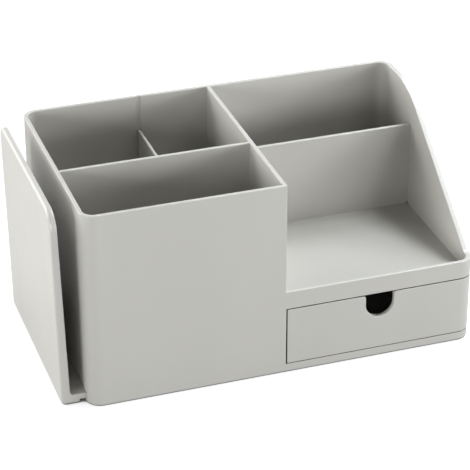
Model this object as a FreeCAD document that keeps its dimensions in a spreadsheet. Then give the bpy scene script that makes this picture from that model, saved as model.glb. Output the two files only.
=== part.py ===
import FreeCAD, Part
import math
import os
import re
import Sketcher
from FreeCAD import Vector

# Desktop storage box: a moulded body with compartments, a shelf and a drawer bay, a drawer, a pull-out
# side plate on a tongue, a drop-in divider, and the cover screwed under the box. X runs to the right along
# the front, Y to the back and Z up. Each piece is drawn with the box's front face in y = 0, its left wall
# in x = 0 and the desk in z = 0. All are then moved together, so that the frame's origin is on the desk,
# in the middle of the whole.

doc = FreeCAD.newDocument("desktop_storage_box")

# Driving dimensions in millimetres. The right wall ends in the open slope and is thicker than the others.
SIZES = {
    "body_width": 250, "body_depth": 150, "body_height": 130, "wall": 2.5, "side_wall": 3.3,
    "corner_radius": 9, "rim_round": 0.5, "desk_gap": 0.4, "skirt_round": 0.8, "block_edge_round": 0.8,
    # Left block, the walls across it, whose rims lie lower, and the right section.
    "block_width": 125, "block_floor": 2.5, "middle_wall_front": 62, "middle_wall_dip": 0.2,
    "rear_wall_front": 100.5, "rear_wall_drop": 25, "shelf_thickness": 1.7, "lip_height": 11.9,
    # Sloping side: where its line leaves the lip, how far from the back it would reach the rim, and the two
    # rounds there.
    "slope_foot": 11.4, "slope_inset": 40.4, "slope_round": 57, "lip_round": 4,
    # Drawer bay and drawer.
    "bay_floor": 2, "bay_level": 5.9, "bay_height": 39.4, "drawer_wall": 2, "drawer_floor": 2,
    "drawer_front": 2.5, "side_gap": 0.9, "under_gap": 0.3, "top_gap": 0.7, "back_gap": 1.5,
    "side_drop": 5.7, "return_margin": 0.3, "return_gap": 0.3, "drawer_edge_round": 0.4,
    "drawer_corner_round": 3, "drawer_floor_round": 1.5, "notch_width": 18.6, "notch_depth": 16,
    "notch_shift": 1.4, "notch_mouth_round": 2,
    # Side plate: the leaning upright plate, its foot and the tongue with two stops at its end.
    "plate_front": 7.7, "plate_inset": 14, "plate_rise": 0.6, "plate_reach": 15.5,
    "plate_foot": 5.6, "outer_lean": 1.8, "inner_lean": 3.3, "foot_step": 4.3, "foot_height": 6.6,
    "plate_front_round": 12, "plate_back_round": 8, "plate_outer_round": 2, "plate_inner_round": 0.8,
    "foot_inner_round": 2, "foot_heel_round": 2.5, "tongue_gap": 0.3, "tongue_top_gap": 0.3,
    "tongue_reach": 95, "tongue_shoulder": 1.2, "tongue_inset": 8, "stop_length": 6, "stop_width": 2,
    "pull_travel": 60, "window_gap": 0.4,
    # Drop-in divider and the two shallow grooves that guide it.
    "divider_place": 76.6, "divider_thickness": 2, "divider_drop": 24, "divider_end_gap": 0.15,
    "divider_round": 0.6, "groove_gap": 0.2, "groove_depth": 0.45,
    # Bottom cover with the tongue's guides, the bosses and screws that hold it, and the pads.
    "cover_lift": 0.2, "cover_thickness": 2.2, "cover_gap": 0.3, "guide_gap": 0.3, "guide_width": 1.6,
    "guide_drop": 0.8, "guide_margin": 0.5, "boss_radius": 3, "boss_inset": 9.5, "boss_edge": 5.5,
    "screw_radius": 1.3, "screw_skin": 1.3, "screw_head": 2.3, "screw_head_depth": 0.9,
    "screw_gap": 0.1, "screw_end_gap": 0.3,
    "pad_radius": 6, "pad_recess": 0.4, "pad_inset": 22, "pad_gap": 0.2,
}

# Places worked out from the sizes. Each is an expression over the names above and over earlier places.
PLACES = {
    "inner_right": "body_width - side_wall",
    "inner_back": "body_depth - wall",
    "block_inner": "block_width - wall",
    "middle_wall_back": "middle_wall_front + wall",
    "middle_wall_top": "body_height - rim_round - middle_wall_dip",
    "rear_wall_top": "body_height - rear_wall_drop",
    "rear_wall_back": "rear_wall_front + wall",
    "inner_radius": "corner_radius - wall",
    "bay_top": "bay_level + bay_height",
    "shelf_top": "bay_top + shelf_thickness",
    "lip_top": "bay_top + lip_height",
    "slope_head": "body_depth - slope_inset",
    "cover_bottom": "desk_gap + cover_lift",
    "cover_top": "cover_bottom + cover_thickness",
    "cover_left": "wall + cover_gap",
    "cover_right": "inner_right - cover_gap",
    "cover_back": "inner_back - cover_gap",
    "tongue_bottom": "cover_top + tongue_gap",
    "block_under": "foot_height + tongue_top_gap",
    "block_level": "block_under + block_floor",
    "bay_under": "bay_level - bay_floor",
    "screw_top": "bay_level - screw_skin",
    "plate_back": "body_depth - plate_inset",
    "plate_top": "body_height + plate_rise",
    "plate_room": "plate_reach + outer_lean",
    "tongue_front": "plate_front + tongue_inset",
    "tongue_back": "plate_back - tongue_inset",
    "stop_start": "tongue_reach - stop_length",
    "guide_start": "tongue_shoulder + foot_step + guide_margin",
    "guide_end": "stop_start - pull_travel",
    "guide_top": "foot_height - guide_drop",
    "drawer_left": "block_width + side_gap",
    "drawer_right": "inner_right - side_gap",
    "drawer_back": "rear_wall_front - back_gap",
    "drawer_bottom": "bay_level + under_gap",
    "drawer_level": "drawer_bottom + drawer_floor",
    "drawer_front_top": "bay_top - top_gap",
    "drawer_side_top": "drawer_front_top - side_drop",
    "front_return": "corner_radius + return_margin",
    "notch_middle": "(drawer_left + body_width) / 2 - notch_shift",
    "notch_radius": "notch_width / 2",
    "divider_left": "divider_place - divider_thickness / 2",
    "divider_right": "divider_place + divider_thickness / 2",
    "divider_top": "body_height - divider_drop",
    "groove_left": "divider_left - groove_gap",
    "groove_right": "divider_right + groove_gap",
    "back_groove": "inner_back + groove_depth",
    "middle_groove": "middle_wall_back - groove_depth",
}

sheet = doc.addObject("Spreadsheet::Sheet", "Sizes")
for row, (alias, size) in enumerate(SIZES.items(), start=1):
    sheet.set(f"A{row}", alias)
    sheet.set(f"B{row}", str(size))
    sheet.setAlias(f"B{row}", alias)
doc.recompute()


def spelled(text):
    """An expression over the sheet, with every place in it replaced by the sizes that it stands for."""
    def word(match):
        name = match.group(0)
        return f"({spelled(PLACES[name])})" if name in PLACES else f"Sizes.{name}"
    return re.sub(r"[a-z][a-z_]*", word, text)


def number(text):
    """The value of such an expression."""
    return float(sheet.evalExpression(spelled(text)))


def new_body(name):
    """A body with its own label, at the origin of the shared frame."""
    body = doc.addObject("PartDesign::Body", name)
    body.Label = name
    body.Placement = FreeCAD.Placement()
    return body


def new_sketch(body, name, plane, right, up, out):
    """A sketch on one of the body's own planes, moved along the plane's axes to the place given."""
    sketch = body.newObject("Sketcher::SketchObject", name)
    support = next(item for item in body.Origin.OriginFeatures if item.Role == plane)
    sketch.AttachmentSupport = [(support, "")]
    sketch.MapMode = "FlatFace"
    for axis, text in (("x", right), ("y", up), ("z", out)):
        sketch.setExpression(f"AttachmentOffset.Base.{axis}", spelled(text))
    return sketch


def bind_constraint(sketch, constraint, text):
    """Adds a constraint whose value follows the expression."""
    made = sketch.addConstraint(constraint)
    sketch.setExpression(f"Constraints[{made}]", spelled(text))


def polygon(sketch, corners):
    """Closes straight lines through the corners. Each corner is bound by its distances from the sketch's
    origin, two expressions that are positive, or 0 where the corner lies on an axis."""
    points = [Vector(number(right), number(up), 0) for right, up in corners]
    count = len(points)
    for index in range(count):
        sketch.addGeometry(Part.LineSegment(points[index], points[(index + 1) % count]), False)
    for index in range(count):
        sketch.addConstraint(Sketcher.Constraint("Coincident", index, 2, (index + 1) % count, 1))
    for index, corner in enumerate(corners):
        for kind, axis, text, place in zip(("DistanceX", "DistanceY"), (-2, -1), corner, points[index]):
            if text == "0":
                sketch.addConstraint(Sketcher.Constraint("PointOnObject", index, 1, axis))
            else:
                bind_constraint(sketch, Sketcher.Constraint(kind, -1, 1, index, 1, place), text)


def rectangle(body, name, box):
    """A level rectangle at the bottom of a box that is given as six expressions."""
    left, right, front, back, low, high = box
    sketch = new_sketch(body, f"{name}_outline", "XY_Plane", left, front, low)
    wide, deep = f"({right}) - ({left})", f"({back}) - ({front})"
    polygon(sketch, [("0", "0"), (wide, "0"), (wide, deep), ("0", deep)])
    return sketch


def extrude(body, kind, name, sketch, length, reverse):
    """A pad or pocket of the sketch. It must add or take material."""
    before = body.Shape.Volume if body.Tip else 0
    feature = body.newObject(f"PartDesign::{kind}", name)
    feature.Profile = sketch
    feature.setExpression("Length", spelled(length))
    feature.Reversed = reverse
    doc.recompute()
    change = feature.Shape.Volume - before
    if change * (1 if kind == "Pad" else -1) < 1e-3:
        raise ValueError(f"{name} changes nothing")
    return feature


def add_box(body, name, *box):
    return extrude(body, "Pad", name, rectangle(body, name, box), f"({box[5]}) - ({box[4]})", False)


def cut_box(body, name, *box):
    return extrude(body, "Pocket", name, rectangle(body, name, box), f"({box[5]}) - ({box[4]})", True)


def disc(body, kind, name, middle, low, high, radius):
    """An upright cylinder, added or cut."""
    sketch = new_sketch(body, f"{name}_outline", "XY_Plane", middle[0], middle[1], low)
    sketch.addGeometry(Part.Circle(Vector(0, 0, 0), Vector(0, 0, 1), number(radius)), False)
    sketch.addConstraint(Sketcher.Constraint("Coincident", 0, 3, -1, 1))
    bind_constraint(sketch, Sketcher.Constraint("Radius", 0, number(radius)), radius)
    return extrude(body, kind, name, sketch, f"({high}) - ({low})", kind == "Pocket")


def round_edges(body, name, radius, chosen):
    """Rounds every edge of the body so far that the test picks."""
    base = body.Tip
    names = [f"Edge{place}" for place, edge in enumerate(base.Shape.Edges, start=1) if chosen(edge)]
    if not names:
        raise ValueError(f"{name} finds no edge")
    feature = body.newObject("PartDesign::Fillet", name)
    feature.Base = (base, names)
    feature.setExpression("Radius", spelled(radius))
    doc.recompute()
    return feature


def near(first, second):
    return abs(first - second) < 0.01


def upright(*places):
    """Picks upright edges at the given pairs of x and y."""
    spots = [(number(x), number(y)) for x, y in places]
    def chosen(edge):
        return edge.BoundBox.ZLength > 0.1 and any(
            all(near(v.X, x) and near(v.Y, y) for v in edge.Vertexes) for x, y in spots)
    return chosen


def crosswise(*places):
    """Picks edges along X at the given pairs of y and z."""
    spots = [(number(y), number(z)) for y, z in places]
    def chosen(edge):
        return edge.BoundBox.XLength > 0.1 and any(
            all(near(v.Y, y) and near(v.Z, z) for v in edge.Vertexes) for y, z in spots)
    return chosen


def lengthwise(*places):
    """Picks edges along Y at the given pairs of x and z."""
    spots = [(number(x), number(z)) for x, z in places]
    def chosen(edge):
        return edge.BoundBox.YLength > 0.1 and any(
            all(near(v.X, x) and near(v.Z, z) for v in edge.Vertexes) for x, z in spots)
    return chosen


# Places that several pieces share.
SCREW_PLACES = [
    (x, y)
    for x in ("wall + boss_inset", "block_inner - boss_inset", "inner_right - boss_inset")
    for y in ("wall + boss_edge", "inner_back - boss_edge")
]
PAD_PLACES = [
    (x, y)
    for x in ("pad_inset", "body_width - pad_inset")
    for y in ("pad_inset", "body_depth - pad_inset")
]


# Body: one moulding, cut from a block.
shell = new_body("body_shell")
add_box(shell, "block", "0", "body_width", "0", "body_depth", "desk_gap", "body_height")

slope = new_sketch(shell, "slope_outline", "YZ_Plane", "-wall", "lip_top", "block_width")
polygon(slope, [
    ("0", "0"),
    ("wall + slope_foot", "0"),
    ("wall + slope_head", "body_height - lip_top"),
    ("wall + slope_head", "body_height - lip_top + wall"),
    ("0", "body_height - lip_top + wall"),
])
extrude(shell, "Pocket", "slope", slope, "body_width", True)
round_edges(shell, "slope_rounding", "slope_round", crosswise(("slope_head", "body_height")))
round_edges(shell, "lip_rounding", "lip_round", crosswise(("slope_foot", "lip_top")))

# Compartments, shelf and drawer bay.
cut_box(shell, "block_mouth", "wall", "block_inner", "wall", "inner_back", "middle_wall_top", "body_height")
cut_box(shell, "front_compartment",
        "wall", "block_inner", "wall", "middle_wall_front", "block_level", "middle_wall_top")
cut_box(shell, "rear_compartments",
        "wall", "block_inner", "middle_wall_back", "inner_back", "block_level", "middle_wall_top")
cut_box(shell, "right_mouth",
        "block_width", "inner_right", "wall", "inner_back", "rear_wall_top", "body_height")
cut_box(shell, "shelf_space",
        "block_width", "inner_right", "wall", "rear_wall_front", "shelf_top", "rear_wall_top")
cut_box(shell, "rear_slot",
        "block_width", "inner_right", "rear_wall_back", "inner_back", "bay_level", "rear_wall_top")
cut_box(shell, "drawer_bay", "block_width", "inner_right", "0", "rear_wall_front", "bay_level", "bay_top")
cut_box(shell, "corner_recess",
        "inner_right", "body_width", "0", "front_return + return_gap", "bay_level", "bay_top")

# Hollow underside, as deep as the cover everywhere and as deep as the tongue under the block.
cut_box(shell, "block_underside", "wall", "block_inner", "wall", "inner_back", "desk_gap", "block_under")
cut_box(shell, "bay_underside", "block_width", "inner_right", "wall", "inner_back", "desk_gap", "bay_under")
cut_box(shell, "cover_room", "block_inner", "block_width", "wall", "inner_back", "desk_gap", "cover_top")

round_edges(shell, "inner_corners", "inner_radius", upright(
    ("wall", "wall"), ("wall", "inner_back"), ("inner_right", "wall"), ("inner_right", "inner_back")))
round_edges(shell, "outer_corners", "corner_radius", upright(
    ("0", "0"), ("0", "body_depth"), ("body_width", "0"), ("body_width", "body_depth")))
cut_box(shell, "tongue_window", "-wall", "2 * wall",
        "plate_front - window_gap", "plate_back + window_gap", "cover_top", "block_under")


def rims(edge):
    """Picks the edges round the open top: the rim, the slope, the lip and the tops of the lower walls. The
    short level edges where one wall runs into another stay sharp."""
    box = edge.BoundBox
    tops = [number(name) for name in ("body_height", "middle_wall_top", "rear_wall_top", "lip_top")]
    level = box.ZLength < 0.01 and any(near(box.ZMax, top) for top in tops)
    along = level and edge.Length > max(number("wall"), number("side_wall")) + 0.01
    beside = near(box.XMin, number("inner_right")) or near(box.XMin, number("body_width"))
    upward = box.ZLength > 0.1 and box.ZMin > number("lip_top") - 0.01
    rising = box.XLength < 0.01 and box.YLength > 0.5 and upward
    return along or (rising and beside)


def block_edge(edge):
    """Picks the upright edge where the block's front meets its side over the shelf."""
    box = edge.BoundBox
    return near(box.ZMax, number("body_height")) and box.ZLength > 1 and (
        near(box.XMin, number("block_width")) and near(box.YMax, 0))


def skirt(edge):
    """Picks the outer edge of the underside."""
    box = edge.BoundBox
    side = box.XMin < 0.01 or box.XMax > number("body_width") - 0.01
    end = box.YMin < 0.01 or box.YMax > number("body_depth") - 0.01
    return near(box.ZMin, box.ZMax) and near(box.ZMin, number("desk_gap")) and (side or end)


round_edges(shell, "block_edge_rounding", "block_edge_round", block_edge)
round_edges(shell, "skirt_rounding", "skirt_round", skirt)
round_edges(shell, "rim_rounding", "rim_round", rims)

# Grooves for the divider, in the back wall and in the wall across the block.
cut_box(shell, "divider_grooves",
        "groove_left", "groove_right", "middle_groove", "back_groove", "block_level", "body_height")

# Bosses under the floors, with their pilot holes.
for place, (x, y) in enumerate(SCREW_PLACES):
    floor_under = "bay_under" if x.startswith("inner_right") else "block_under"
    disc(shell, "Pad", f"boss_{place}", (x, y), "cover_top", floor_under, "boss_radius")
    disc(shell, "Pocket", f"pilot_hole_{place}", (x, y), "cover_top", "screw_top + screw_end_gap",
         "screw_radius + screw_gap")

# Drawer: a front that ends in the box's rounded corner, and an open box behind it.
drawer = new_body("drawer")
add_box(drawer, "front",
        "drawer_left", "body_width", "0", "front_return", "drawer_bottom", "drawer_front_top")
add_box(drawer, "tray",
        "drawer_left", "drawer_right", "drawer_front", "drawer_back", "drawer_bottom", "drawer_side_top")
cut_box(drawer, "inside", "drawer_left + drawer_wall", "drawer_right - drawer_wall",
        "drawer_front", "drawer_back - drawer_wall", "drawer_level", "drawer_front_top")
round_edges(drawer, "front_corner", "corner_radius", upright(("body_width", "0")))
round_edges(drawer, "inside_corners", "drawer_corner_round", upright(*[
    (x, y)
    for x in ("drawer_left + drawer_wall", "drawer_right - drawer_wall")
    for y in ("drawer_front", "drawer_back - drawer_wall")
]))


def inside_floor(edge):
    box = edge.BoundBox
    return near(box.ZMin, number("drawer_level")) and near(box.ZMax, number("drawer_level"))


round_edges(drawer, "inside_floor_round", "drawer_floor_round", inside_floor)

# Finger notch: straight sides over a half circle, with rounded corners at its mouth.
notch = new_sketch(drawer, "notch_outline", "XZ_Plane",
                   "notch_middle - notch_radius", "drawer_front_top - notch_depth", "0")
half, top = number("notch_radius"), number("notch_depth")
notch.addGeometry(Part.LineSegment(Vector(0, top, 0), Vector(0, half, 0)), False)
notch.addGeometry(Part.ArcOfCircle(
    Part.Circle(Vector(half, half, 0), Vector(0, 0, 1), half), math.pi, 2 * math.pi), False)
notch.addGeometry(Part.LineSegment(Vector(2 * half, half, 0), Vector(2 * half, top, 0)), False)
notch.addGeometry(Part.LineSegment(Vector(2 * half, top, 0), Vector(0, top, 0)), False)
notch.addConstraint(Sketcher.Constraint("Tangent", 0, 2, 1, 1))
notch.addConstraint(Sketcher.Constraint("Tangent", 1, 2, 2, 1))
notch.addConstraint(Sketcher.Constraint("Coincident", 2, 2, 3, 1))
notch.addConstraint(Sketcher.Constraint("Coincident", 3, 2, 0, 1))
notch.addConstraint(Sketcher.Constraint("Vertical", 0))
notch.addConstraint(Sketcher.Constraint("Vertical", 2))
notch.addConstraint(Sketcher.Constraint("Horizontal", 3))
bind_constraint(notch, Sketcher.Constraint("DistanceX", -1, 1, 1, 3, half), "notch_radius")
bind_constraint(notch, Sketcher.Constraint("DistanceY", -1, 1, 1, 3, half), "notch_radius")
bind_constraint(notch, Sketcher.Constraint("Radius", 1, half), "notch_radius")
bind_constraint(notch, Sketcher.Constraint("DistanceY", -1, 1, 0, 1, top), "notch_depth")
extrude(drawer, "Pocket", "notch", notch, "drawer_front", False)


def notch_mouth(edge):
    box = edge.BoundBox
    left, right = number("notch_middle - notch_radius"), number("notch_middle + notch_radius")
    return near(box.ZMin, number("drawer_front_top")) and near(box.ZMax, box.ZMin) and (
        near(box.XMin, box.XMax) and (near(box.XMin, left) or near(box.XMin, right)))


def front_outline(edge):
    """Picks the edges of the front face and of its rounded end."""
    box = edge.BoundBox
    outer = near(box.XMax, number("body_width")) and box.YMax > number("corner_radius") - 0.01
    level = near(box.ZMin, box.ZMax)
    return box.YMax < 0.01 or (box.YMin < 0.01 and level and outer)


round_edges(drawer, "notch_mouth_rounds", "notch_mouth_round", notch_mouth)
round_edges(drawer, "front_edge_round", "drawer_edge_round", front_outline)

# Side plate: its profile across the slot, run along Y, with the tongue cut narrower than the foot.
plate = new_body("side_plate")
profile = new_sketch(plate, "plate_profile", "XZ_Plane", "-plate_room", "desk_gap", "-plate_front")
polygon(profile, [
    ("outer_lean", "0"),
    ("plate_room - foot_step", "0"),
    ("plate_room - foot_step", "tongue_bottom - desk_gap"),
    ("plate_room + tongue_reach", "tongue_bottom - desk_gap"),
    ("plate_room + tongue_reach", "foot_height - desk_gap"),
    ("outer_lean + plate_foot", "foot_height - desk_gap"),
    ("outer_lean + plate_foot - inner_lean", "plate_top - desk_gap"),
    ("0", "plate_top - desk_gap"),
])
extrude(plate, "Pad", "plate_and_foot", profile, "plate_back - plate_front", True)
for end, front, back in (("front", "plate_front", "tongue_front"), ("back", "tongue_back", "plate_back")):
    cut_box(plate, f"tongue_{end}_side", "tongue_shoulder", "tongue_reach",
            front, back, "tongue_bottom", "foot_height")
add_box(plate, "front_stop", "stop_start", "tongue_reach",
        "tongue_front - stop_width", "tongue_front", "tongue_bottom", "foot_height")
add_box(plate, "back_stop", "stop_start", "tongue_reach",
        "tongue_back", "tongue_back + stop_width", "tongue_bottom", "foot_height")
round_edges(plate, "front_top_corner", "plate_front_round", crosswise(("plate_front", "plate_top")))
round_edges(plate, "back_top_corner", "plate_back_round", crosswise(("plate_back", "plate_top")))
round_edges(plate, "foot_inside_round", "foot_inner_round", lengthwise(
    ("plate_foot - plate_reach", "foot_height")))
round_edges(plate, "foot_heel", "foot_heel_round", lengthwise(("-plate_reach", "desk_gap")))


def outer_outline(edge):
    """Picks the long edges round the upright plate's outer face."""
    box = edge.BoundBox
    long = box.ZLength > 1 or box.YLength > 1
    return long and box.ZMax > number("foot_height + plate_foot") and (
        box.XMax < number("-plate_reach") + 0.01)


def inner_outline(edge):
    """Picks the long edges round the face that looks at the box."""
    box = edge.BoundBox
    long = box.ZLength > 1 or box.YLength > 1
    inner_top = number("plate_foot - plate_reach - inner_lean")
    return long and box.ZMax > number("foot_height + plate_foot") and (
        box.XMin > inner_top - 0.01 and box.XMax < number("plate_foot - plate_reach") + 0.01)


round_edges(plate, "plate_inner_rounding", "plate_inner_round", inner_outline)
round_edges(plate, "plate_outer_rounding", "plate_outer_round", outer_outline)

# Drop-in divider, standing on the floor with its ends in the grooves.
divider = new_body("short_divider")
add_box(divider, "divider_plate", "divider_left", "divider_right", "middle_groove + divider_end_gap",
        "back_groove - divider_end_gap", "block_level", "divider_top")
round_edges(divider, "divider_top_round", "divider_round", lengthwise(
    ("divider_left", "divider_top"), ("divider_right", "divider_top")))

# Bottom cover, with recesses for the screw heads and pads, and two guides beside the tongue. The tongue's
# stops meet the ends of the guides when the side plate is pulled right out.
cover = new_body("bottom_cover")
add_box(cover, "cover_plate",
        "cover_left", "cover_right", "cover_left", "cover_back", "cover_bottom", "cover_top")
round_edges(cover, "cover_corners", "inner_radius - cover_gap", upright(
    ("cover_left", "cover_left"), ("cover_left", "cover_back"),
    ("cover_right", "cover_left"), ("cover_right", "cover_back")))
add_box(cover, "front_guide", "guide_start", "guide_end", "tongue_front - guide_gap - guide_width",
        "tongue_front - guide_gap", "cover_top", "guide_top")
add_box(cover, "back_guide", "guide_start", "guide_end", "tongue_back + guide_gap",
        "tongue_back + guide_gap + guide_width", "cover_top", "guide_top")
for place, middle in enumerate(SCREW_PLACES):
    disc(cover, "Pocket", f"screw_hole_{place}", middle, "cover_bottom", "cover_top",
         "screw_radius + screw_gap")
    disc(cover, "Pocket", f"head_recess_{place}", middle, "cover_bottom", "cover_bottom + screw_head_depth",
         "screw_head + screw_gap")
for place, middle in enumerate(PAD_PLACES):
    disc(cover, "Pocket", f"pad_recess_{place}", middle, "cover_bottom", "cover_bottom + pad_recess",
         "pad_radius + pad_gap")


def cylinder(name, middle, low, high, radius):
    """An upright cylinder whose size and place follow the expressions."""
    shape = doc.addObject("Part::Cylinder", name)
    shape.setExpression("Radius", spelled(radius))
    shape.setExpression("Height", spelled(f"({high}) - ({low})"))
    for axis, text in zip("xyz", (*middle, low)):
        shape.setExpression(f"Placement.Base.{axis}", spelled(text))
    return shape


def group(name, pieces):
    """One node of separate solids."""
    made = doc.addObject("Part::Compound", name)
    made.Label = name
    made.Links = pieces
    made.Placement = FreeCAD.Placement()
    return made


# Screws of the cover, each a flat head and a shank.
screws = []
for place, middle in enumerate(SCREW_PLACES):
    screw = doc.addObject("Part::Fuse", f"screw_{place}")
    screw.Base = cylinder(f"screw_head_{place}", middle, "cover_bottom", "cover_bottom + screw_head_depth",
                          "screw_head")
    screw.Tool = cylinder(f"screw_shank_{place}", middle, "cover_bottom", "screw_top", "screw_radius")
    screws.append(screw)
cover_screws = group("cover_screws", screws)
foot_pads = group("foot_pads", [
    cylinder(f"pad_{place}", middle, "0", "cover_bottom + pad_recess", "pad_radius")
    for place, middle in enumerate(PAD_PLACES)
])

# All pieces move together, to bring the frame's origin to the middle of the whole.
nodes = [shell, drawer, plate, divider, cover, cover_screws, foot_pads]
for node in nodes:
    node.setExpression("Placement.Base.x", spelled("(plate_room - body_width) / 2"))
    node.setExpression("Placement.Base.y", spelled("-body_depth / 2"))
doc.recompute()
for item in doc.Objects:
    if "Invalid" in item.State or "Error" in item.State:
        raise ValueError(f"{item.Label} failed: {item.State}")
os.makedirs("parts", exist_ok=True)
for node in nodes:
    if node.Shape.isNull() or not node.Shape.isValid():
        raise ValueError(f"{node.Label} has no valid shape")
    node.Shape.exportStep(f"parts/{node.Label}.step")
    print(node.Label, len(node.Shape.Solids), "solid(s),", round(node.Shape.Volume / 1000, 2), "cm3")
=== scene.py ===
# %% [markdown]
# # A desktop storage box
#
# The box is injection moulded in one light warm-grey plastic: a body with upright compartments, a shelf and
# a drawer bay, a drawer, a side plate that pulls out on a tongue, and a divider that drops in. Its shapes
# are plain, so what makes it look real is the plastic: a fine moulded skin, soft edges that catch the
# light, and gloss that changes a little from place to place. This lesson loads the pieces from their CAD
# model, gives each one its material, rebuilds the small fittings underneath, and then lights and frames it.

# %% Load the pieces
import math

import bpy
import numpy as np
from mathutils import Matrix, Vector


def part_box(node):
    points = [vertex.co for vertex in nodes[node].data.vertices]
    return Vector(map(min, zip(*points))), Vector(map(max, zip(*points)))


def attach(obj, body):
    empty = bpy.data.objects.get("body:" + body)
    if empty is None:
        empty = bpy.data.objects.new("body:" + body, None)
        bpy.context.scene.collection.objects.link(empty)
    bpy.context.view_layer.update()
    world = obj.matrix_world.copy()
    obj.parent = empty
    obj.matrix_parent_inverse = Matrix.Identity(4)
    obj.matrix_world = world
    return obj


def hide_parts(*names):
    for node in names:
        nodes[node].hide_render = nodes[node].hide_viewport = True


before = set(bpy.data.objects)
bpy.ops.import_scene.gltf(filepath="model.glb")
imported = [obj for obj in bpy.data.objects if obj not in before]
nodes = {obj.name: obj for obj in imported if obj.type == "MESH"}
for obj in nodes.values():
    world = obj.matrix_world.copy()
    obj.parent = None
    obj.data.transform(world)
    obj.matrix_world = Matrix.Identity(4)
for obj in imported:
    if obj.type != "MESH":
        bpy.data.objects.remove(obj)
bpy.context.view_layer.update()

for name in nodes:
    low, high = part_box(name)
    print(name, [round((b - a) * 1000, 1) for a, b in zip(low, high)], "mm")

# %% [markdown]
# ## The camera
#
# A long lens from the front left, which looks down by 29 degrees. A long lens keeps upright edges nearly
# parallel, which suits a small product. The camera's place and turn are given as a point and three angles,
# and its axes are worked out from them: the view direction first, then the level axis to its right, then the
# axis that points up in the frame. A very small roll levels the object in the frame.

# %% Place the camera
CAMERA_PLACE = np.array((-0.356743, -1.066276, 0.681929))
CAMERA_TURN = math.radians(-18.546)
CAMERA_DROP = math.radians(28.98)
CAMERA_ROLL = math.radians(-0.172)
FRAME_PIXELS = 470
FOCAL_PIXELS = 2027.9
SENSOR_WIDTH = 36.0


def camera_axes(turn, drop, roll):
    """Right, up and back axes of a camera that looks along +Y at turn 0. The view direction is turned about
    Z and then lowered, and the right and up axes are rolled about it."""
    view = np.array((-math.sin(turn) * math.cos(drop), math.cos(turn) * math.cos(drop), -math.sin(drop)))
    level = np.array((math.cos(turn), math.sin(turn), 0.0))
    up = np.cross(level, view)
    right = level * math.cos(roll) + up * math.sin(roll)
    return right, np.cross(right, view), -view


camera_data = bpy.data.cameras.new("camera")
camera_data.sensor_width = SENSOR_WIDTH
camera_data.lens = SENSOR_WIDTH * FOCAL_PIXELS / FRAME_PIXELS
camera = bpy.data.objects.new("camera", camera_data)
camera_matrix = np.eye(4)
camera_matrix[:3, :3] = np.column_stack(camera_axes(CAMERA_TURN, CAMERA_DROP, CAMERA_ROLL))
camera_matrix[:3, 3] = CAMERA_PLACE
camera.matrix_world = Matrix(camera_matrix.tolist())
bpy.context.scene.collection.objects.link(camera)
bpy.context.scene.camera = camera
print("lens", round(camera_data.lens, 1), "mm, distance", round(float(np.linalg.norm(CAMERA_PLACE)), 3), "m")

# %% [markdown]
# ## Writing materials in a few lines
#
# A material is a small graph. The helper below adds one node, sets its choices, and fills its inputs: a
# number or colour is set on the socket, and another node's output is linked to it. Inputs are named as
# Blender names them, or numbered where a node has several inputs of one name.

# %% Helpers for node graphs
def add_node(tree, kind, inputs=None, **choices):
    """A new node of the given kind, with its choices set and its inputs filled or linked."""
    node = tree.nodes.new(f"ShaderNode{kind}")
    for name, value in choices.items():
        setattr(node, name, value)
    for name, value in (inputs or {}).items():
        if isinstance(value, bpy.types.NodeSocket):
            tree.links.new(value, node.inputs[name])
        else:
            node.inputs[name].default_value = value
    return node


def maths(tree, operation, *values):
    """One step of arithmetic on numbers that vary over the surface."""
    return add_node(tree, "Math", dict(enumerate(values)), operation=operation).outputs[0]


def spread(tree, value, low, high, to_low, to_high):
    """Maps a range of values to another, and holds it there at both ends."""
    return add_node(tree, "MapRange", {
        "Value": value, "From Min": low, "From Max": high, "To Min": to_low, "To Max": to_high,
    }).outputs["Result"]


def blend_colours(tree, factor, first, second):
    """The first colour where the factor is 0 and the second where it is 1."""
    mix = add_node(tree, "Mix", {0: factor, 6: first, 7: second}, data_type="RGBA")
    return mix.outputs[2]


def new_group(name, inputs, outputs):
    """An empty node group with its named sockets. Each input has a type and a first value."""
    group = bpy.data.node_groups.new(name, "ShaderNodeTree")
    for socket, (kind, value) in inputs.items():
        made = group.interface.new_socket(name=socket, in_out="INPUT", socket_type=f"NodeSocket{kind}")
        made.default_value = value
    for socket, kind in outputs.items():
        group.interface.new_socket(name=socket, in_out="OUTPUT", socket_type=f"NodeSocket{kind}")
    return group, group.nodes.new("NodeGroupInput")


def close_group(group, outputs):
    """Links the worked-out values to the group's outputs."""
    end = group.nodes.new("NodeGroupOutput")
    for socket, value in outputs.items():
        group.links.new(value, end.inputs[socket])
    print("group", group.name, len(group.nodes), "nodes")


def use_group(tree, group, inputs):
    """Places a group in a material with its own values."""
    node = tree.nodes.new("ShaderNodeGroup")
    node.node_tree = group
    for name, value in inputs.items():
        if isinstance(value, bpy.types.NodeSocket):
            tree.links.new(value, node.inputs[name])
        else:
            node.inputs[name].default_value = value
    return node


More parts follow.
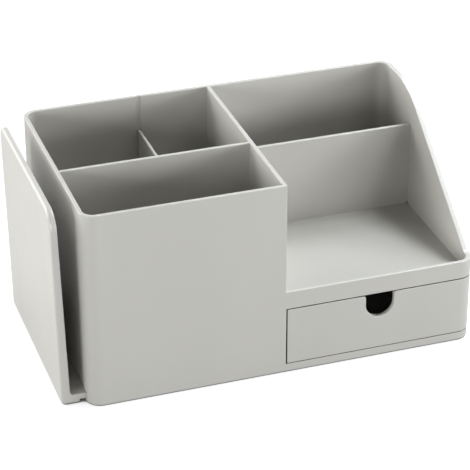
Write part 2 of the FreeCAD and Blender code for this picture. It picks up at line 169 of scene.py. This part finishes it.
# %% [markdown]
# ## What moulded plastic shows
#
# Four effects make up this plastic, and each one is a node group so that all materials can share it.
#
# *Moulded skin.* The steel mould is polished by hand, so the plastic has a skin of shallow waves a few
# millimetres long, with a finer grain on top. The group adds two noises as one height in metres.
#
# *Flow tone.* Molten plastic cools unevenly, which leaves faint cloudy differences of tone and gloss, some
# centimetres long and drawn out along the flow.
#
# *Soft edges.* No moulded edge is truly sharp. Rounding it in the shading, with the Bevel node, lets every
# edge catch a thin line of light. Comparing the rounded normal with the true one also shows where the
# edges are. Edges that hands and neighbours rub are a little smoother, and paler in patches, which is partly
# rub wear and partly a painted highlight.
#
# *Narrow gaps.* The shade deep inside a narrow gap is painted into the colour, which goes nearly black
# there.
# The Ambient Occlusion node with a reach of a few millimetres finds the places that are covered from more
# than half of all sides, which plain inner corners are not.
#
# A noise gathers round its middle, so its range from 0.3 to 0.7 is spread over the whole of a mask.

# %% Group: moulded skin
def inputs_of(group_input, *names):
    """The group's own inputs, in order."""
    return [group_input.outputs[name] for name in names]


skin_group, skin_in = new_group("moulded_skin", {
    "Wave Size": ("Float", 0.006), "Wave Height": ("Float", 0.00001),
    "Grain Size": ("Float", 0.0006), "Grain Height": ("Float", 0.000004),
}, {"Height": "Float"})
wave_size, wave_height, grain_size, grain_height = inputs_of(
    skin_in, "Wave Size", "Wave Height", "Grain Size", "Grain Height")
skin_place = add_node(skin_group, "TexCoord").outputs["Object"]
wave_noise = add_node(skin_group, "TexNoise", {
    "Vector": skin_place, "Scale": maths(skin_group, "DIVIDE", 1.0, wave_size), "Detail": 2.0,
    "Roughness": 0.45,
}).outputs[0]
grain_noise = add_node(skin_group, "TexNoise", {
    "Vector": skin_place, "Scale": maths(skin_group, "DIVIDE", 1.0, grain_size), "Detail": 3.0,
    "Roughness": 0.55,
}).outputs[0]
skin_height = maths(
    skin_group, "ADD",
    maths(skin_group, "MULTIPLY", wave_noise, wave_height),
    maths(skin_group, "MULTIPLY", grain_noise, grain_height))
close_group(skin_group, {"Height": skin_height})

# %% Group: flow tone
NOISE_LOW, NOISE_HIGH = 0.3, 0.7
GLOSS_SHIFT, GLOSS_FINER = 7.0, 1.7
flow_group, flow_in = new_group("flow_tone", {
    "Size": ("Float", 0.05), "Stretch": ("Vector", (1.0, 1.0, 0.5)), "Shift": ("Float", 0.0),
}, {"Tone": "Float", "Gloss": "Float"})
flow_size, flow_stretch, flow_shift = inputs_of(flow_in, "Size", "Stretch", "Shift")
flow_place = add_node(flow_group, "VectorMath", {
    0: add_node(flow_group, "TexCoord").outputs["Object"], 1: flow_stretch}, operation="MULTIPLY").outputs[0]
flow_scale = maths(flow_group, "DIVIDE", 1.0, flow_size)
flow_noise = add_node(flow_group, "TexNoise", {
    "Vector": flow_place, "W": flow_shift, "Scale": flow_scale, "Detail": 3.0, "Roughness": 0.5,
    "Distortion": 0.4,
}, noise_dimensions="4D").outputs[0]
gloss_noise = add_node(flow_group, "TexNoise", {
    "Vector": flow_place, "W": maths(flow_group, "ADD", flow_shift, GLOSS_SHIFT),
    "Scale": maths(flow_group, "MULTIPLY", flow_scale, GLOSS_FINER), "Detail": 4.0, "Roughness": 0.6,
}, noise_dimensions="4D").outputs[0]
close_group(flow_group, {
    "Tone": spread(flow_group, flow_noise, NOISE_LOW, NOISE_HIGH, 0.0, 1.0),
    "Gloss": spread(flow_group, gloss_noise, NOISE_LOW, NOISE_HIGH, 0.0, 1.0),
})

# %% Group: soft edges
FLAT_AGREEMENT, EDGE_AGREEMENT = 0.995, 0.85
WEAR_AND_HIGHLIGHT_LOW, WEAR_AND_HIGHLIGHT_HIGH = 0.4, 0.65
edge_group, edge_in = new_group("soft_edges", {
    "Radius": ("Float", 0.0004), "Wear Size": ("Float", 0.004),
}, {"Edge": "Float", "Wear And Highlight": "Float", "Normal": "Vector"})
edge_radius, wear_and_highlight_size = inputs_of(edge_in, "Radius", "Wear Size")
rounded = add_node(edge_group, "Bevel", {"Radius": edge_radius}, samples=6).outputs["Normal"]
true_normal = add_node(edge_group, "NewGeometry").outputs["Normal"]
agreement = add_node(
    edge_group, "VectorMath", {0: rounded, 1: true_normal}, operation="DOT_PRODUCT").outputs["Value"]
edge_mask = spread(edge_group, agreement, FLAT_AGREEMENT, EDGE_AGREEMENT, 0.0, 1.0)
wear_and_highlight_noise = add_node(edge_group, "TexNoise", {
    "Vector": add_node(edge_group, "TexCoord").outputs["Object"],
    "Scale": maths(edge_group, "DIVIDE", 1.0, wear_and_highlight_size), "Detail": 3.0, "Roughness": 0.6,
}).outputs[0]
# Paler patches along the edges: partly rub wear, partly a painted highlight on the rims.
wear_and_highlight_mask = maths(
    edge_group, "MULTIPLY", edge_mask, spread(edge_group, wear_and_highlight_noise, WEAR_AND_HIGHLIGHT_LOW, WEAR_AND_HIGHLIGHT_HIGH, 0.0, 1.0))
close_group(edge_group, {"Edge": edge_mask, "Wear And Highlight": wear_and_highlight_mask, "Normal": rounded})

# %% Group: painted shade in narrow gaps
SHUT, OPEN = 0.28, 0.48
gap_shade_group, gap_in = new_group("narrow_gap_shade", {"Reach": ("Float", 0.0012)}, {"Gap Shade": "Float"})
# Painted shade: the mask is 1 where a point is covered from more than half of all sides within the reach.
gap_open = add_node(
    gap_shade_group, "AmbientOcclusion", {"Distance": gap_in.outputs["Reach"]}, samples=8).outputs["AO"]
close_group(gap_shade_group, {"Gap Shade": spread(gap_shade_group, gap_open, SHUT, OPEN, 1.0, 0.0)})

# %% [markdown]
# ## The plastics
#
# One recipe makes every plastic piece: a base colour that drifts a little with the flow, edges paler in
# patches, partly from wear and partly as a painted highlight, a satin roughness that the gloss clouds and
# the edges' rubbing change, and the moulded skin as a bump on top of the soft edges. Narrow gaps get a
# painted shade that goes nearly black. Each piece gets its own tint, its own place in the clouds and its own
# polish, because the pieces come out of different moulds.

# %% Material recipe for moulded plastic
PLASTIC_INDEX = 1.54
CLOUD_SIZE, CLOUD_STRETCH = 0.06, (1.0, 1.0, 0.4)
SOFT_RADIUS, CRISP_RADIUS = 0.0004, 0.0003
# Paler edges: partly rub wear, partly a painted highlight.
WEAR_AND_HIGHLIGHT_SIZE, WEAR_AND_HIGHLIGHT_LIFT, WEAR_AND_HIGHLIGHT_SHARE = 0.005, 0.12, 0.5
# Painted shade: narrow gaps take a nearly black tone of the colour.
GAP_REACH, GAP_SHADE_TONE = 0.0025, 0.04
SMOOTHER, ROUGHER, RUBBED = 0.04, 0.05, 0.02


def moulded_plastic(name, colour, shift, roughness, skin, edge_radius=SOFT_RADIUS, drift=0.02):
    """A moulded plastic. Skin gives wave size, wave height, grain size and grain height in metres."""
    material = bpy.data.materials.new(name)
    material.use_nodes = True
    tree = material.node_tree
    tree.nodes.clear()
    skin_node = use_group(tree, skin_group, dict(zip(
        ("Wave Size", "Wave Height", "Grain Size", "Grain Height"), skin)))
    flow = use_group(tree, flow_group, {"Size": CLOUD_SIZE, "Stretch": CLOUD_STRETCH, "Shift": shift})
    edges = use_group(tree, edge_group, {"Radius": edge_radius, "Wear Size": WEAR_AND_HIGHLIGHT_SIZE})
    darker = [channel * (1 - drift) for channel in colour]
    paler = [min(channel * (1 + drift), 1.0) for channel in colour]
    # The paler edge colour is partly rub wear and partly a painted highlight.
    worn_and_highlit = [channel + WEAR_AND_HIGHLIGHT_LIFT * (1 - channel) for channel in colour]
    clouded = blend_colours(tree, flow.outputs["Tone"], (*darker, 1), (*paler, 1))
    wear_and_highlight_amount = maths(tree, "MULTIPLY", edges.outputs["Wear And Highlight"], WEAR_AND_HIGHLIGHT_SHARE)
    tone = blend_colours(tree, wear_and_highlight_amount, clouded, (*worn_and_highlit, 1))
    # Painted shade: deep inside narrow gaps the colour goes nearly black.
    gaps = use_group(tree, gap_shade_group, {"Reach": GAP_REACH})
    painted_gap_shade = [channel * GAP_SHADE_TONE for channel in colour]
    tone = blend_colours(tree, gaps.outputs["Gap Shade"], tone, (*painted_gap_shade, 1))
    satin = spread(tree, flow.outputs["Gloss"], 0.0, 1.0, roughness - SMOOTHER, roughness + ROUGHER)
    satin = maths(tree, "SUBTRACT", satin, maths(tree, "MULTIPLY", edges.outputs["Edge"], RUBBED))
    bump = add_node(tree, "Bump", {
        "Strength": 1.0, "Distance": 1.0, "Height": skin_node.outputs["Height"],
        "Normal": edges.outputs["Normal"],
    })
    shader = add_node(tree, "BsdfPrincipled", {
        "Base Color": tone, "Roughness": satin, "IOR": PLASTIC_INDEX, "Normal": bump.outputs["Normal"],
    })
    add_node(tree, "OutputMaterial", {"Surface": shader.outputs["BSDF"]})
    print("material", name, len(tree.nodes), "nodes")
    return material


# %% Plastics of the box
SATIN_SKIN = (0.007, 0.000004, 0.0006, 0.0000012)
FINE_TEXTURE_SKIN = (0.004, 0.000006, 0.0005, 0.000012)
body_plastic = moulded_plastic("body_plastic", (0.478, 0.464, 0.432), 0.0, 0.345, SATIN_SKIN)
drawer_plastic = moulded_plastic("drawer_plastic", (0.474, 0.461, 0.430), 3.1, 0.35, SATIN_SKIN)
plate_plastic = moulded_plastic("plate_plastic", (0.480, 0.466, 0.434), 5.7, 0.34, SATIN_SKIN)
divider_plastic = moulded_plastic(
    "divider_plastic", (0.478, 0.464, 0.432), 9.2, 0.35, SATIN_SKIN, CRISP_RADIUS)
cover_plastic = moulded_plastic(
    "cover_plastic", (0.43, 0.418, 0.392), 12.4, 0.5, FINE_TEXTURE_SKIN, CRISP_RADIUS, 0.03)

# %% Give each CAD piece its plastic
for name, material in (
    ("body_shell", body_plastic), ("drawer", drawer_plastic), ("side_plate", plate_plastic),
    ("short_divider", divider_plastic), ("bottom_cover", cover_plastic),
):
    nodes[name].material_slots[0].material = material
    print(name, "wears", material.name)

# %% [markdown]
# ## Pads and screws underneath
#
# The box stands on four thin rubber pads, and six small pan-head screws hold its bottom cover. Both are
# turned shapes, so each one is a surface of revolution: a profile of radii and heights, carried round a
# circle. One function makes all the copies of a piece at once, as one array of points. The cross recess of
# a screw is a height that is pushed into the head wherever a point lies inside the cross.

# %% Surfaces of revolution
def turned_pieces(name, centres, profile, steps, sink=None):
    """Closed solids of revolution about upright axes, all in one mesh.

    With radius r and height z along the profile and angle a round the axis, x = r cos a and y = r sin a,
    and a point is (cx + x, cy + y, z + sink(x, y, z)). The profile starts and ends on the axis, where all
    the angles share one point, so the mesh is closed at both poles."""
    radii, heights = np.array(profile, dtype=float).T
    angles = np.linspace(0, 2 * math.pi, steps, endpoint=False)
    ring_r, ring_z = radii[1:-1, None], heights[1:-1, None]
    x = ring_r * np.cos(angles)
    y = ring_r * np.sin(angles)
    z = ring_z + (sink(x, y, ring_z) if sink else np.zeros_like(x))
    first = (sink(np.zeros(1), np.zeros(1), heights[:1])[0] if sink else 0.0) + heights[0]
    rings = np.stack((x, y, z), axis=-1).reshape(-1, 3)
    single = np.concatenate(([[0, 0, first]], rings, [[0, 0, heights[-1]]]))
    rows, last = len(radii) - 2, len(single) - 1
    step = np.arange(steps)
    turn = (step + 1) % steps
    lower = 1 + steps * np.arange(rows - 1)[:, None]
    quads = np.stack((lower + step, lower + turn, lower + steps + turn, lower + steps + step), axis=-1)
    quads = quads.reshape(-1, 4)
    start_cap = np.stack((np.zeros(steps, dtype=int), 1 + turn, 1 + step), axis=-1)
    top_ring = 1 + steps * (rows - 1)
    end_cap = np.stack((np.full(steps, last), top_ring + step, top_ring + turn), axis=-1)
    offsets = np.pad(np.array(centres, dtype=float), ((0, 0), (0, 1)))
    points = (single[None] + offsets[:, None]).reshape(-1, 3)
    faces = []
    for copy in range(len(centres)):
        shift = copy * len(single)
        for part in (quads, start_cap, end_cap):
            faces += (part + shift).tolist()
    mesh = bpy.data.meshes.new(name)
    mesh.from_pydata(points.tolist(), [], faces)
    mesh.polygons.foreach_set("use_smooth", np.ones(len(faces), dtype=bool))
    mesh.update()
    piece = bpy.data.objects.new(name, mesh)
    bpy.context.scene.collection.objects.link(piece)
    print(name, len(points), "points,", len(faces), "faces")
    return piece


def rounded_run(start, corner, end, radius, count=5):
    """Points of a quarter-round corner between two straight runs of a profile."""
    start, corner, end = (np.array(p, dtype=float) for p in (start, corner, end))
    towards = (start - corner) / np.linalg.norm(start - corner)
    away = (end - corner) / np.linalg.norm(end - corner)
    turns = np.linspace(0, math.pi / 2, count)[:, None]
    middle = corner + (towards + away) * radius
    return (middle - away * radius * np.cos(turns) - towards * radius * np.sin(turns)).tolist()


# %% Places of the fittings, read from the CAD pieces
SAME_FITTING = 0.02


def islands(name):
    """The middle of each separate solid of a node, seen from above: points within 20 mm of the first point
    that is left belong to the same solid."""
    mesh = nodes[name].data
    points = np.empty(len(mesh.vertices) * 3)
    mesh.vertices.foreach_get("co", points)
    points = points.reshape(-1, 3)[:, :2]
    left = np.ones(len(points), dtype=bool)
    middles = []
    while left.any():
        seed = points[left][0]
        near = left & (np.linalg.norm(points - seed, axis=1) < SAME_FITTING)
        middles.append((points[near].max(axis=0) + points[near].min(axis=0)) / 2)
        left &= ~near
    return middles


pad_places = islands("foot_pads")
screw_places = islands("cover_screws")
print(len(pad_places), "pads and", len(screw_places), "screws")

# %% Rubber pads
pad_low, pad_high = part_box("foot_pads")
PAD_RADIUS, PAD_FLAT, PAD_ROUND = 0.006, 0.003, 0.0003
bottom, top = pad_low[2], pad_high[2]
pad_profile = [
    (0.0, bottom), (PAD_FLAT, bottom),
    *rounded_run((PAD_FLAT, bottom), (PAD_RADIUS, bottom), (PAD_RADIUS, top), PAD_ROUND),
    *rounded_run((PAD_RADIUS, bottom), (PAD_RADIUS, top), (PAD_FLAT, top), PAD_ROUND),
    (PAD_FLAT, top), (0.0, top),
]
rubber_pads = turned_pieces("rubber_pads", pad_places, pad_profile, 64)
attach(rubber_pads, "base")
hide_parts("foot_pads")

# %% Pan-head screws with a cross recess
screw_low, screw_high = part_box("cover_screws")
face, tip = screw_low[2], screw_high[2]
HEAD_RADIUS, HEAD_DEPTH, HEAD_FLAT, HEAD_ROUND = 0.0023, 0.0009, 0.0015, 0.0005
SHANK_RADIUS = 0.0013
CROSS_HALF, CROSS_REACH, CROSS_DEPTH = 0.00032, 0.0013, 0.0006
CROSS_WALL, CROSS_RUN, FACE_BAND = 0.0001, 0.0006, 0.0002


def cross_recess(x, y, z):
    """How far a point of the head's face is pushed up: full depth within either bar of the cross, less
    towards the ends of the bars, and nothing outside or above the face."""
    reach = np.hypot(x, y)
    bar = np.minimum(np.abs(x), np.abs(y))
    across = np.clip((CROSS_HALF - bar) / CROSS_WALL, 0, 1)
    along = np.clip((CROSS_REACH - reach) / CROSS_RUN, 0, 1)
    return np.where(z < face + FACE_BAND, across * along * CROSS_DEPTH, 0.0)


head_top = face + HEAD_DEPTH
screw_profile = [
    (0.0, face), *[(radius, face) for radius in np.linspace(0.0001, HEAD_FLAT, 15)],
    *rounded_run((HEAD_FLAT, face), (HEAD_RADIUS, face), (HEAD_RADIUS, head_top), HEAD_ROUND, 7),
    (HEAD_RADIUS, head_top), (SHANK_RADIUS, head_top), (SHANK_RADIUS, tip), (0.0, tip),
]
pan_screws = turned_pieces("pan_screws", screw_places, screw_profile, 48, cross_recess)
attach(pan_screws, "base")
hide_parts("cover_screws")

# %% Materials of the fittings
PATCH_SIZE, PATCH_SHIFT = 0.002, 2.0
ROUGHNESS_DRIFT = 0.08


def plain_recipe(name, colour, roughness, metallic, grain_size, grain_height, drift):
    """Colour and roughness that drift with a fine grain, and the grain as bump."""
    material = bpy.data.materials.new(name)
    material.use_nodes = True
    tree = material.node_tree
    tree.nodes.clear()
    flow = use_group(tree, flow_group, {
        "Size": PATCH_SIZE, "Stretch": (1.0, 1.0, 1.0), "Shift": PATCH_SHIFT})
    grain = use_group(tree, skin_group, {
        "Wave Size": grain_size * 4, "Wave Height": grain_height, "Grain Size": grain_size,
        "Grain Height": grain_height})
    tone = blend_colours(
        tree, flow.outputs["Tone"], (*[c * (1 - drift) for c in colour], 1),
        (*[min(c * (1 + drift), 1) for c in colour], 1))
    bump = add_node(tree, "Bump", {"Strength": 1.0, "Distance": 1.0, "Height": grain.outputs["Height"]})
    shader = add_node(tree, "BsdfPrincipled", {
        "Base Color": tone, "Metallic": metallic, "Normal": bump.outputs["Normal"],
        "Roughness": spread(
            tree, flow.outputs["Gloss"], 0.0, 1.0, roughness - ROUGHNESS_DRIFT, roughness + ROUGHNESS_DRIFT),
    })
    add_node(tree, "OutputMaterial", {"Surface": shader.outputs["BSDF"]})
    print("material", name, len(tree.nodes), "nodes")
    return material


rubber_pads.data.materials.append(plain_recipe(
    "pad_rubber", (0.34, 0.335, 0.32), 0.75, 0.0, 0.0004, 0.00002, 0.06))
pan_screws.data.materials.append(plain_recipe(
    "zinc_steel", (0.55, 0.56, 0.57), 0.32, 1.0, 0.0003, 0.000003, 0.08))

# %% [markdown]
# ## Floor and light
#
# The box stands on a large pale floor that fills the frame. The floor is a plain matt surface, so it keeps
# the box's soft shadow, and for the camera it also glows, which lifts its tone to white without adding
# light to the box. The glow fades wherever something stands close over the floor, so the narrow gap under
# the box stays dark. Light that the floor sends back to the box is weak, and in the plastic's mirror image
# the floor is darker than it looks, and darkest beside the box, where a real floor lies in its shade. Seen
# from below the floor lets the view through, so that the underside can be inspected.

# %% Floor
FLOOR_REACH = 4.0
floor_mesh = bpy.data.meshes.new("floor")
floor_mesh.from_pydata(
    [(-FLOOR_REACH, -FLOOR_REACH, 0), (FLOOR_REACH, -FLOOR_REACH, 0), (FLOOR_REACH, FLOOR_REACH, 0),
     (-FLOOR_REACH, FLOOR_REACH, 0)], [], [(0, 1, 2, 3)])
floor = bpy.data.objects.new("floor", floor_mesh)
bpy.context.scene.collection.objects.link(floor)
BOUNCED_TONE, SEEN_TONE = 0.08, 0.5
FLOOR_GLOW, MIRRORED_GLOW, MIRRORED_SHADE = 0.7, 0.7, 0.35
COVER_REACH, COVER_SHUT, COVER_OPEN = 0.008, 0.28, 0.38
SHADE_REACH, SHADE_DEEP, SHADE_NONE = 0.07, 0.5, 0.9
floor_material = bpy.data.materials.new("pale_floor")
floor_material.use_nodes = True
tree = floor_material.node_tree
tree.nodes.clear()
rays = add_node(tree, "LightPath")
seen = maths(tree, "MAXIMUM", rays.outputs["Is Camera Ray"], rays.outputs["Is Transmission Ray"])
openness = add_node(tree, "AmbientOcclusion", {"Distance": COVER_REACH}, samples=20).outputs["AO"]
uncovered = spread(tree, openness, COVER_SHUT, COVER_OPEN, 0.0, 1.0)
bright = maths(tree, "MULTIPLY", maths(tree, "MULTIPLY", seen, FLOOR_GLOW), uncovered)
beside = add_node(tree, "AmbientOcclusion", {"Distance": SHADE_REACH}, samples=4).outputs["AO"]
mirrored = maths(tree, "MULTIPLY", rays.outputs["Is Glossy Ray"],
                 spread(tree, beside, SHADE_DEEP, SHADE_NONE, MIRRORED_SHADE, MIRRORED_GLOW))
matt = add_node(tree, "BsdfDiffuse", {"Color": blend_colours(
    tree, seen, (BOUNCED_TONE, BOUNCED_TONE, BOUNCED_TONE, 1), (SEEN_TONE, SEEN_TONE, SEEN_TONE, 1))})
glow = add_node(tree, "Emission", {
    "Color": (1, 1, 1, 1), "Strength": maths(tree, "ADD", bright, mirrored)})
lit = add_node(tree, "AddShader", {0: matt.outputs[0], 1: glow.outputs[0]})
below = add_node(tree, "MixShader", {
    0: add_node(tree, "NewGeometry").outputs["Backfacing"], 1: lit.outputs[0],
    2: add_node(tree, "BsdfTransparent").outputs[0]})
add_node(tree, "OutputMaterial", {"Surface": below.outputs[0]})
floor_mesh.materials.append(floor_material)

# %% [markdown]
# The room is white to the camera and in mirror images, and it lights nothing else.

# %% White room
world = bpy.data.worlds.new("pale_room")
bpy.context.scene.world = world
world.use_nodes = True
tree = world.node_tree
tree.nodes.clear()
rays = add_node(tree, "LightPath")
strength = maths(tree, "MAXIMUM", rays.outputs["Is Glossy Ray"], rays.outputs["Is Camera Ray"])
room = add_node(tree, "Background", {"Color": (1, 1, 1, 1), "Strength": strength})
add_node(tree, "OutputWorld", {"Surface": room.outputs[0]})

# %% [markdown]
# Each lamp is a large soft panel. It is described by where it hangs, as an azimuth from the front, an
# elevation and a distance, and by its size and power. The panels on the left are neutral, the two high on
# the right are cool, like a window, and the others are in between.

# %% Soft panels
AIM = np.array((0.0, 0.0, 0.06))
NEUTRAL, BETWEEN, COOL = (0.985, 0.985, 0.975), (0.962, 0.985, 1.0), (0.915, 0.965, 1.0)


def soft_panel(name, azimuth, elevation, distance, width, watts, colour):
    """A square panel that faces the box. Azimuth 0 is in front, 90 to the right, -90 to the left."""
    a, e = math.radians(azimuth), math.radians(elevation)
    towards = np.array((math.sin(a) * math.cos(e), -math.cos(a) * math.cos(e), math.sin(e)))
    light = bpy.data.lights.new(name, "AREA")
    light.shape = "SQUARE"
    light.size = width
    light.energy = watts
    light.color = colour
    lamp = bpy.data.objects.new(name, light)
    side = np.cross((0, 0, 1.0), towards)
    side = side / np.linalg.norm(side)
    matrix = np.eye(4)
    matrix[:3, :3] = np.column_stack((side, np.cross(towards, side), towards))
    matrix[:3, 3] = AIM + towards * distance
    lamp.matrix_world = Matrix(matrix.tolist())
    bpy.context.scene.collection.objects.link(lamp)
    print("panel", name, watts, "W")


for panel in (
    ("back_left_panel", -140, 24, 1.7, 1.4, 21.0, NEUTRAL),
    ("left_panel", -118, 14, 1.5, 0.8, 9.6, NEUTRAL),
    ("low_left_panel", -60, 6, 1.2, 0.5, 10.8, BETWEEN),
    ("front_left_panel", -30, 6, 1.2, 0.5, 2.4, BETWEEN),
    ("front_right_panel", 30, 6, 1.2, 0.5, 5.0, BETWEEN),
    ("right_panel", 60, 6, 1.2, 0.5, 11.6, BETWEEN),
    ("back_right_panel", 132, 55, 1.2, 0.5, 9.0, COOL),
    ("high_panel", 90, 60, 1.2, 0.38, 8.1, COOL),
):
    soft_panel(*panel)

bpy.context.scene.view_settings.view_transform = "Standard"

# %% [markdown]
